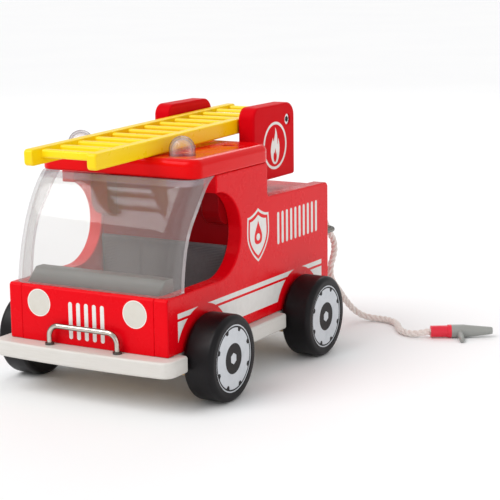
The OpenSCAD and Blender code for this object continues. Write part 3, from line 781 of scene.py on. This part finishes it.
# ------------------------------------------------------------------ cab fittings
dash = filleted([(6.5, 71.6, 0), (10.1, 71.6, 0), (10.1, 60, 0.6), (24, 60, 0.8), (24, 80, 1.6), (15.5, 80, 1.8)], 6)
piece("dash_shelf", prism_data("X", [(dash, 0.5, 0.5)], -50.2, 50.2), "engine", M["dash"], ["dashboard"])
piece("bench", prism_data("X", [(box_loop(58, 91, 35, 50, 0.8), 0.4, 0.4)], -50.45, 50.45), "engine", M["dark"], ["seat_bench"])


def pad(name, node, lo, hi, face, crown, round_r):
    """A thin upholstered pad: flat at its back, crowned on its face, sides pulled in between the corners, with two
    channels pressed across it.
    """
    nu, nv = 72, 34
    x0, x1 = lo[0], hi[0]
    if face == "Z":
        b0, b1, base_w, top_w = lo[1], hi[1], lo[2], hi[2]
    else:
        b0, b1, base_w, top_w = lo[2], hi[2], hi[1], lo[1]
    thick = abs(top_w - base_w)
    sign = 1 if top_w > base_w else -1
    V, F = [], []

    def place(u, v, h):
        x = x0 + (x1 - x0) * u
        b = b0 + (b1 - b0) * v
        w = base_w + sign * h
        return P(x, b, w) if face == "Z" else P(x, w, b)

    def edge(t, span):
        d = min(t, 1 - t) * span
        q = min(1.0, d / round_r)
        return math.sqrt(max(0.0, 1 - (1 - q) ** 2))

    us = sorted(set([0, 1] + [0.5 - 0.5 * math.cos(pi * i / nu) for i in range(nu + 1)]))
    vs = sorted(set([0, 1] + [0.5 - 0.5 * math.cos(pi * i / nv) for i in range(nv + 1)]))
    top, bottom = [], []
    for i, u in enumerate(us):
        for j, v in enumerate(vs):
            e = edge(u, x1 - x0) * edge(v, b1 - b0)
            swell = (1 - (2 * u - 1) ** 4) * (1 - (2 * v - 1) ** 4)
            channel = 0.0
            for c in (1 / 3, 2 / 3):
                channel = max(channel, math.exp(-(((u - c) * (x1 - x0)) / 0.9) ** 2))
            h = thick * (0.12 + 0.62 * e + crown * swell - 0.16 * channel * e)
            # the sides draw in between the corners
            pull = 0.6 * (1 - (2 * v - 1) ** 2) * (1 if u > 0.5 else -1) * (abs(2 * u - 1) ** 8) / (x1 - x0)
            V.append(place(u - pull, v, h))
            top.append(len(V) - 1)
    for i, u in enumerate(us):
        for j, v in enumerate(vs):
            if i in (0, len(us) - 1) or j in (0, len(vs) - 1):
                pull = 0.6 * (1 - (2 * v - 1) ** 2) * (1 if u > 0.5 else -1) * (abs(2 * u - 1) ** 8) / (x1 - x0)
                V.append(place(u - pull, v, 0))
                bottom.append(len(V) - 1)
            else:
                bottom.append(None)
    w = len(vs)
    flip = (face == "Z") == (sign > 0)
    for i in range(len(us) - 1):
        for j in range(w - 1):
            q = (top[i * w + j], top[(i + 1) * w + j], top[(i + 1) * w + j + 1], top[i * w + j + 1])
            F.append(q)
    ring = [(i, 0) for i in range(len(us))] + [(len(us) - 1, j) for j in range(1, w)] + [(i, w - 1) for i in range(len(us) - 2, -1, -1)] + [(0, j) for j in range(w - 2, 0, -1)]
    n = len(ring)
    for k in range(n):
        (i, j), (i2, j2) = ring[k], ring[(k + 1) % n]
        F.append((top[i * w + j], bottom[i * w + j], bottom[i2 * w + j2], top[i2 * w + j2]))
    F.append(tuple(bottom[i * w + j] for i, j in ring)[::-1])
    ob = new_object(name, V, F, None, [M["weave"]])
    bm_fix(ob)
    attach(ob, "engine")
    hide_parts(node)
    return ob


def bm_fix(ob):
    import bmesh
    bm = bmesh.new()
    bm.from_mesh(ob.data)
    bmesh.ops.recalc_face_normals(bm, faces=bm.faces)
    bm.to_mesh(ob.data)
    bm.free()
    ob.data.update()


pad("seat_pad", "seat_cushion", (-50, 58.5, 50), (50, 87, 54), "Z", 0.22, 1.6)
pad("seat_back_pad", "seat_back", (-50, 87.5, 50), (50, 91, 89), "Y", 0.22, 1.6)

# ------------------------------------------------------------------ windscreen
WZ = [71.6, 78, 85, 92, 99, 106, 112, 118, 123.5, 128.5, 133, 137, 139.9]
WF = [2, 2.9, 4.2, 5.8, 7.8, 10.2, 12.6, 15.5, 18.6, 21.9, 25.3, 28.9, 32]
WG = [21.5, 22, 23, 24.4, 26.4, 29.2, 32.8, 37.5, 42, 46, 50, 54.5, 60]


def along(xs, ys, x):
    """Smooth value between table points (Catmull-Rom on uneven steps)."""
    i = max(0, min(len(xs) - 2, sum(1 for v in xs if v <= x) - 1))
    h = xs[i + 1] - xs[i]
    t = (x - xs[i]) / h

    def slope(k):
        if k == 0:
            return (ys[1] - ys[0]) / (xs[1] - xs[0])
        if k == len(xs) - 1:
            return (ys[-1] - ys[-2]) / (xs[-1] - xs[-2])
        return (ys[k + 1] - ys[k - 1]) / (xs[k + 1] - xs[k - 1])

    m0, m1 = slope(i) * h, slope(i + 1) * h
    return (2 * t ** 3 - 3 * t ** 2 + 1) * ys[i] + (t ** 3 - 2 * t ** 2 + t) * m0 + (-2 * t ** 3 + 3 * t ** 2) * ys[i + 1] + (t ** 3 - t ** 2) * m1


def windscreen():
    W, R, T = 59.5, 10.0, 2.2
    rows, m = 56, 12
    V, F, FM = [], [], []
    n_arc = m
    for i in range(rows + 1):
        z = WZ[0] + (WZ[-1] - WZ[0]) * i / rows
        f, g = along(WZ, WF, z), along(WZ, WG, z)
        dz = 0.4
        k = (along(WZ, WF, min(WZ[-1], z + dz)) - along(WZ, WF, max(WZ[0], z - dz))) / (min(WZ[-1], z + dz) - max(WZ[0], z - dz))
        ty = T * math.sqrt(1 + k * k)
        outer, inner = [], []
        cy = f + R
        steps = 10
        for s in range(steps):  # along the side from its free edge to the corner
            t = s / steps
            y = g + (cy - g) * t
            outer.append((W, y))
            inner.append((W - T, y))
        for a in range(n_arc + 1):
            b = pi / 2 * a / n_arc
            outer.append((W - R + R * math.cos(b), cy - R * math.sin(b)))
            inner.append((W - R + (R - T) * math.cos(b), cy - (R - ty) * math.sin(b)))
        mid = 24
        for s in range(1, mid):
            x = (W - R) * (1 - 2 * s / mid)
            outer.append((x, f))
            inner.append((x, f + ty))
        half = len(outer) - (mid - 1)
        outer += [(-x, y) for x, y in outer[:half][::-1]]
        inner += [(-x, y) for x, y in inner[:half][::-1]]
        V += [P(x, y, z) for x, y in outer] + [P(x, y, z) for x, y in inner]
    n = len(outer)
    w = 2 * n

    def quad(a, b, c, d, mt):
        F.append((a, b, c, d))
        FM.append(mt)

    for i in range(rows):
        for j in range(n - 1):
            a = i * w + j
            face = 2 if WZ[0] + (WZ[-1] - WZ[0]) * (i + 0.5) / rows > 136.3 else 0
            quad(a + 1, a, a + w, a + w + 1, face)
            b = a + n
            quad(b, b + 1, b + w + 1, b + w, face)
        for j in (0, n - 1):
            a, b = i * w + j, i * w + n + j
            quad(*((a, b, b + w, a + w) if j == 0 else (b, a, a + w, b + w)), 1)
    for j in range(n - 1):
        quad(j, j + 1, j + 1 + n, j + n, 1)
        a = rows * w + j
        quad(a + 1, a, a + n, a + n + 1, 1)
    ob = new_object("windscreen_moulding", V, F, None, [M["screen"], M["screen_edge"], M["screen_flange"]], FM)
    me = ob.data
    bm_fix(ob)
    # the rim stays crisp
    mats = {}
    for p in me.polygons:
        for e in p.edge_keys:
            mats.setdefault(e, set()).add(p.material_index)
    for e in me.edges:
        key = tuple(sorted(e.vertices))
        here = mats.get(key, set())
        e.use_edge_sharp = 1 in here and len(here) > 1
    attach(ob, "engine")
    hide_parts("windscreen")
    return ob


windscreen()

# ------------------------------------------------------------------ prints
INK = 0.07  # how far the ink stands out
EMBED = 0.02


def decal(name, axis, loops_list, face, out, body="engine", material="ink", thick=INK, mirror=False):
    """Thin printed shapes on the plane face, standing out towards out (+1 or -1)."""
    parts = []
    for loops in loops_list:
        lo, hi = (face - EMBED, face + thick) if out > 0 else (face - thick, face + EMBED)
        parts.append(prism_data(axis, [(lp, 0.0, 0.0) for lp in loops], lo, hi))
    data = joined(parts)
    if mirror:
        data = mirrored(data)
    return piece(name, data, body, M[material], sharp=True)


def capsule(cu, v0, v1, w):
    r = w / 2
    return arc(cu, v1 - r, r, 0, 180, 12) + arc(cu, v0 + r, r, 180, 360, 12)


def cut_band(z0, z1, y0, y1, side_of, n=26):
    """The part of a band between y0 and y1 that lies clear of the wheel arches."""
    def reach(z):
        return math.sqrt(max(0.0, 33.0 ** 2 - (z - 28.0) ** 2))
    left, right = [], []
    for i in range(n + 1):
        z = z0 + (z1 - z0) * i / n
        h = reach(z)
        if side_of == "front":
            a, b = y0, 41.5 - h
        elif side_of == "middle":
            a, b = 41.5 + h, 168.5 - h
        else:
            a, b = 168.5 + h, y1
        if b - a > 0.05:
            left.append((a, z))
            right.append((b, z))
    return right + left[::-1]


bands = [[cut_band(57.2, 60.5, 11.8, 204, s)] for s in ("front", "middle", "rear")]
bands += [[cut_band(42.1, 55.5, 11.8, 204, s)] for s in ("front", "middle", "rear")]
louvres = [[capsule(140.5 + 6.16 * i + 0.0, 82, 104.4, 2.9)] for i in range(10)]


def bezier_loop(points, n=8):
    """Closed outline from (anchor, handle in, handle out) cubic pieces."""
    out = []
    for i in range(len(points)):
        p0, _, h0 = points[i]
        p1, h1, _ = points[(i + 1) % len(points)]
        for k in range(n):
            t = k / n
            c = [(1 - t) ** 3 * p0[d] + 3 * (1 - t) ** 2 * t * h0[d] + 3 * (1 - t) * t * t * h1[d] + t ** 3 * p1[d] for d in (0, 1)]
            out.append(tuple(c))
    return out


def shield(cy, cz, s):
    """A plain heater shield with a peaked top, about its middle."""
    half = [((0, 18.1), (-4, 16.0), (4, 15.2)), ((14.0, 13.4), (10.5, 13.0), (14.4, 9)), ((14.6, 0.5), (14.9, 5), (14.3, -6.5)), ((0, -18.1), (6.5, -14.5), (-6.5, -14.5)),
            ((-14.6, 0.5), (-14.3, -6.5), (-14.9, 5)), ((-14.0, 13.4), (-14.4, 9), (-10.5, 13.0))]
    half[0] = ((0, 18.1), (-4, 15.2), (4, 15.2))
    return [(cy + x * s, cz + y * s) for x, y in bezier_loop([(a, b, c) for a, b, c in half], 10)]


def flame(cy, cz, s, sy=None):
    """A plain flame of three licks, own drawing."""
    sy = sy or s
    pts = [
        ((0.0, -1.30), (-0.42, -1.30), (0.42, -1.30)),
        ((0.80, -0.42), (0.72, -0.95), (0.86, 0.02)),
        ((0.60, 0.52), (0.80, 0.20), (0.56, 0.30)),
        ((0.42, 0.10), (0.54, 0.14), (0.46, 0.62)),
        ((0.06, 1.32), (0.40, 0.98), (0.10, 0.92)),
        ((-0.22, 0.38), (-0.06, 0.66), (-0.30, 0.30)),
        ((-0.38, 0.62), (-0.36, 0.44), (-0.52, 0.40)),
        ((-0.80, -0.42), (-0.84, 0.02), (-0.72, -0.95)),
    ]
    return [(cy + x * s, cz + y * sy) for x, y in bezier_loop(pts, 9)]


def drop(cy, cz, s):
    pts = [((0.0, -1.0), (-0.62, -1.0), (0.62, -1.0)), ((0.72, -0.30), (0.72, -0.72), (0.72, 0.10)), ((0.0, 1.25), (0.22, 0.62), (-0.22, 0.62)), ((-0.72, -0.30), (-0.72, 0.10), (-0.72, -0.72))]
    return [(cy + x * s, cz + y * s) for x, y in bezier_loop(pts, 12)]


SY, SZ = 112.9, 93.2
emblem = [[shield(SY, SZ, 1.0), shield(SY, SZ - 0.1, 0.90)], [shield(SY, SZ - 0.2, 0.76), drop(SY, SZ + 1.0, 7.2)], [disc(SY, SZ - 1.4, 2.4, 32)]]
CHY, CHZ = 173.5, 144.8
badge = [[disc(CHY, CHZ, 16.6, 96), disc(CHY, CHZ, 14.7, 96)], [flame(CHY, CHZ - 0.3, 7.7, 9.8), flame(CHY - 0.1, CHZ - 6.6, 2.9, 3.8)]]
for nm, mir in (("left", False), ("right", True)):
    decal("print_bands_" + nm, "X", bands, 60.5, 1, mirror=mir)
    decal("print_louvres_" + nm, "X", louvres, 60.5, 1, mirror=mir)
    decal("print_shield_" + nm, "X", emblem, 60.5, 1, mirror=mir)
    decal("print_flame_" + nm, "X", badge, 40.3, 1, mirror=mir, material="ink")

# nose: outline in (z, x)
lamps, rims = [], []
for x in (-36.7, 36.7):
    lamps.append([disc(60.2, x, 8.35, 72)])
    rims.append([disc(60.2, x, 8.9, 72), disc(60.2, x, 8.3, 72)])
decal("print_headlights", "Y", lamps, 0.0, -1, material="ink_lamp", thick=0.10)
decal("print_headlight_rims", "Y", rims, 0.0, -1, material="ink_rim", thick=0.16)


def bar_yx(x):
    r = 1.45
    return arc(63.1 - r, x, r, -90, 90, 12) + arc(39.0 + r, x, r, 90, 270, 12)


decal("print_grille", "Y", [[bar_yx(x)] for x in (-12.2, -6.1, 0, 6.1, 12.2)], 0.0, -1)


# ------------------------------------------------------------------ wheels
def wheel_prints(name, body, yc, s):
    """Silver rim line, notched ring and hub nut, printed on the wheel's sunk face."""
    x = 61.5 + 21.5 - 0.6
    ring = []
    for i in range(8):
        a0 = 360 / 8 * i + 22.5
        w = 6.0
        ring += arc(yc, 28, 19.7, a0 - 45 + w, a0 - w, 16)
        ring += [(yc + 17.6 * math.cos(math.radians(a0 + d)), 28 + 17.6 * math.sin(math.radians(a0 + d))) for d in (-w * 0.55, w * 0.55)]
    loops = [[disc(yc, 28, 21.6, 128), disc(yc, 28, 20.75, 128)], [ring, disc(yc, 28, 9.9, 72)], [[(yc + 3.7 * math.cos(math.radians(30 + 60 * i)), 28 + 3.7 * math.sin(math.radians(30 + 60 * i))) for i in range(6)]]]
    decal(name, "X", loops, x, 1, body=body, material="silver", thick=0.10, mirror=s < 0)


wheel_prints("wheel_print_front_left", "front_wheels", 41.5, 1)
wheel_prints("wheel_print_front_right", "front_wheels", 41.5, -1)
wheel_prints("wheel_print_rear_left", "rear_wheels", 168.5, 1)
wheel_prints("wheel_print_rear_right", "rear_wheels", 168.5, -1)
for n in ("wheel_front_left", "wheel_front_right", "wheel_rear_left", "wheel_rear_right"):
    paint_node(n, M["tyre"])

for n in ("axle_front", "axle_rear", "axle_washers", "base_screws", "cover_screws", "roof_screws", "tower_bolts", "ladder_washers"):
    paint_node(n, M["steel"])
for n in ("front_bar", "rear_bar"):
    paint_node(n, M["chrome"])


def rivet_material():
    """Bright tubular rivet: polished rim, and painted shade darkening its open centre."""
    k = Mat("rivet_steel")
    sep = k.node("ShaderNodeSeparateXYZ")
    k.link(k.co, sep.inputs[0])
    centre = P(0, 192, 161.5)
    dy, dz = k.math("SUBTRACT", sep.outputs[1], centre.y), k.math("SUBTRACT", sep.outputs[2], centre.z)
    r = k.math("SQRT", k.math("ADD", k.math("MULTIPLY", dy, dy), k.math("MULTIPLY", dz, dz)))
    # painted shade: a dark disc at the middle of the pin head
    centre_shade = k.map(r, 1, 0, 0.00195, 0.00215)
    spots = k.noise(400, 4, 0.6)
    c = k.mix(k.map(spots, 0, 0.6, 0.45, 0.75), srgb(236, 236, 238), srgb(190, 190, 194))
    c = k.mix(centre_shade, c, srgb(64, 58, 60))
    k.set(color=c, metal=1.0, rough=k.map(spots, 0.16, 0.32))
    k.bump(spots, 0.08, 0.00004)
    return k.m


paint_node("ladder_pin", rivet_material())
paint_node("front_bar_collars", M["collar"])
for n in ("roof_cleats", "roof_dowels", "cheek_dowels"):
    paint_node(n, M["bare"])
for n in ("beacon_left", "beacon_right"):
    paint_node(n, M["dome"])


# ------------------------------------------------------------------ floor and light
def studio():
    k = Mat("floor_paper")
    k.set(color=k.mix(k.noise(3.0, 2), srgb(250, 250, 250), srgb(246, 246, 247)), rough=0.7, spec=0.25)
    me = bpy.data.meshes.new("floor")
    s = 30
    me.from_pydata([(-s, -s, 0), (s, -s, 0), (s, s, 0), (-s, s, 0)], [], [(0, 1, 2, 3)])
    me.materials.append(k.m)
    floor = bpy.data.objects.new("floor", me)
    scene.collection.objects.link(floor)
    w = bpy.data.worlds.new("studio")
    scene.world = w
    w.use_nodes = True
    w.node_tree.nodes["Background"].inputs[0].default_value = (1, 1, 1, 1)
    w.node_tree.nodes["Background"].inputs[1].default_value = 0.68

    sun = bpy.data.lights.new("sky_key", "SUN")
    sun.energy, sun.angle = 1.6, math.radians(40)
    o = bpy.data.objects.new("sky_key", sun)
    scene.collection.objects.link(o)
    o.rotation_euler = Vector((0.37, 0.55, -0.75)).to_track_quat("-Z", "Y").to_euler()

    def area(name, at, to, size, power, color=(1, 1, 1)):
        d = bpy.data.lights.new(name, "AREA")
        d.shape, d.size, d.energy, d.color = "SQUARE", size, power, color
        o = bpy.data.objects.new(name, d)
        scene.collection.objects.link(o)
        o.location = at
        o.rotation_euler = (Vector(to) - Vector(at)).to_track_quat("-Z", "Y").to_euler()

    area("side_fill", (1.7, -0.75, 0.75), (0, 0, 0.08), 1.2, 3.5)
    area("softbox", (-0.5, 1.3, 1.1), (0, 0, 0.08), 0.7, 3)


studio()
scene.view_settings.view_transform = "Standard"
scene.view_settings.look = "None"
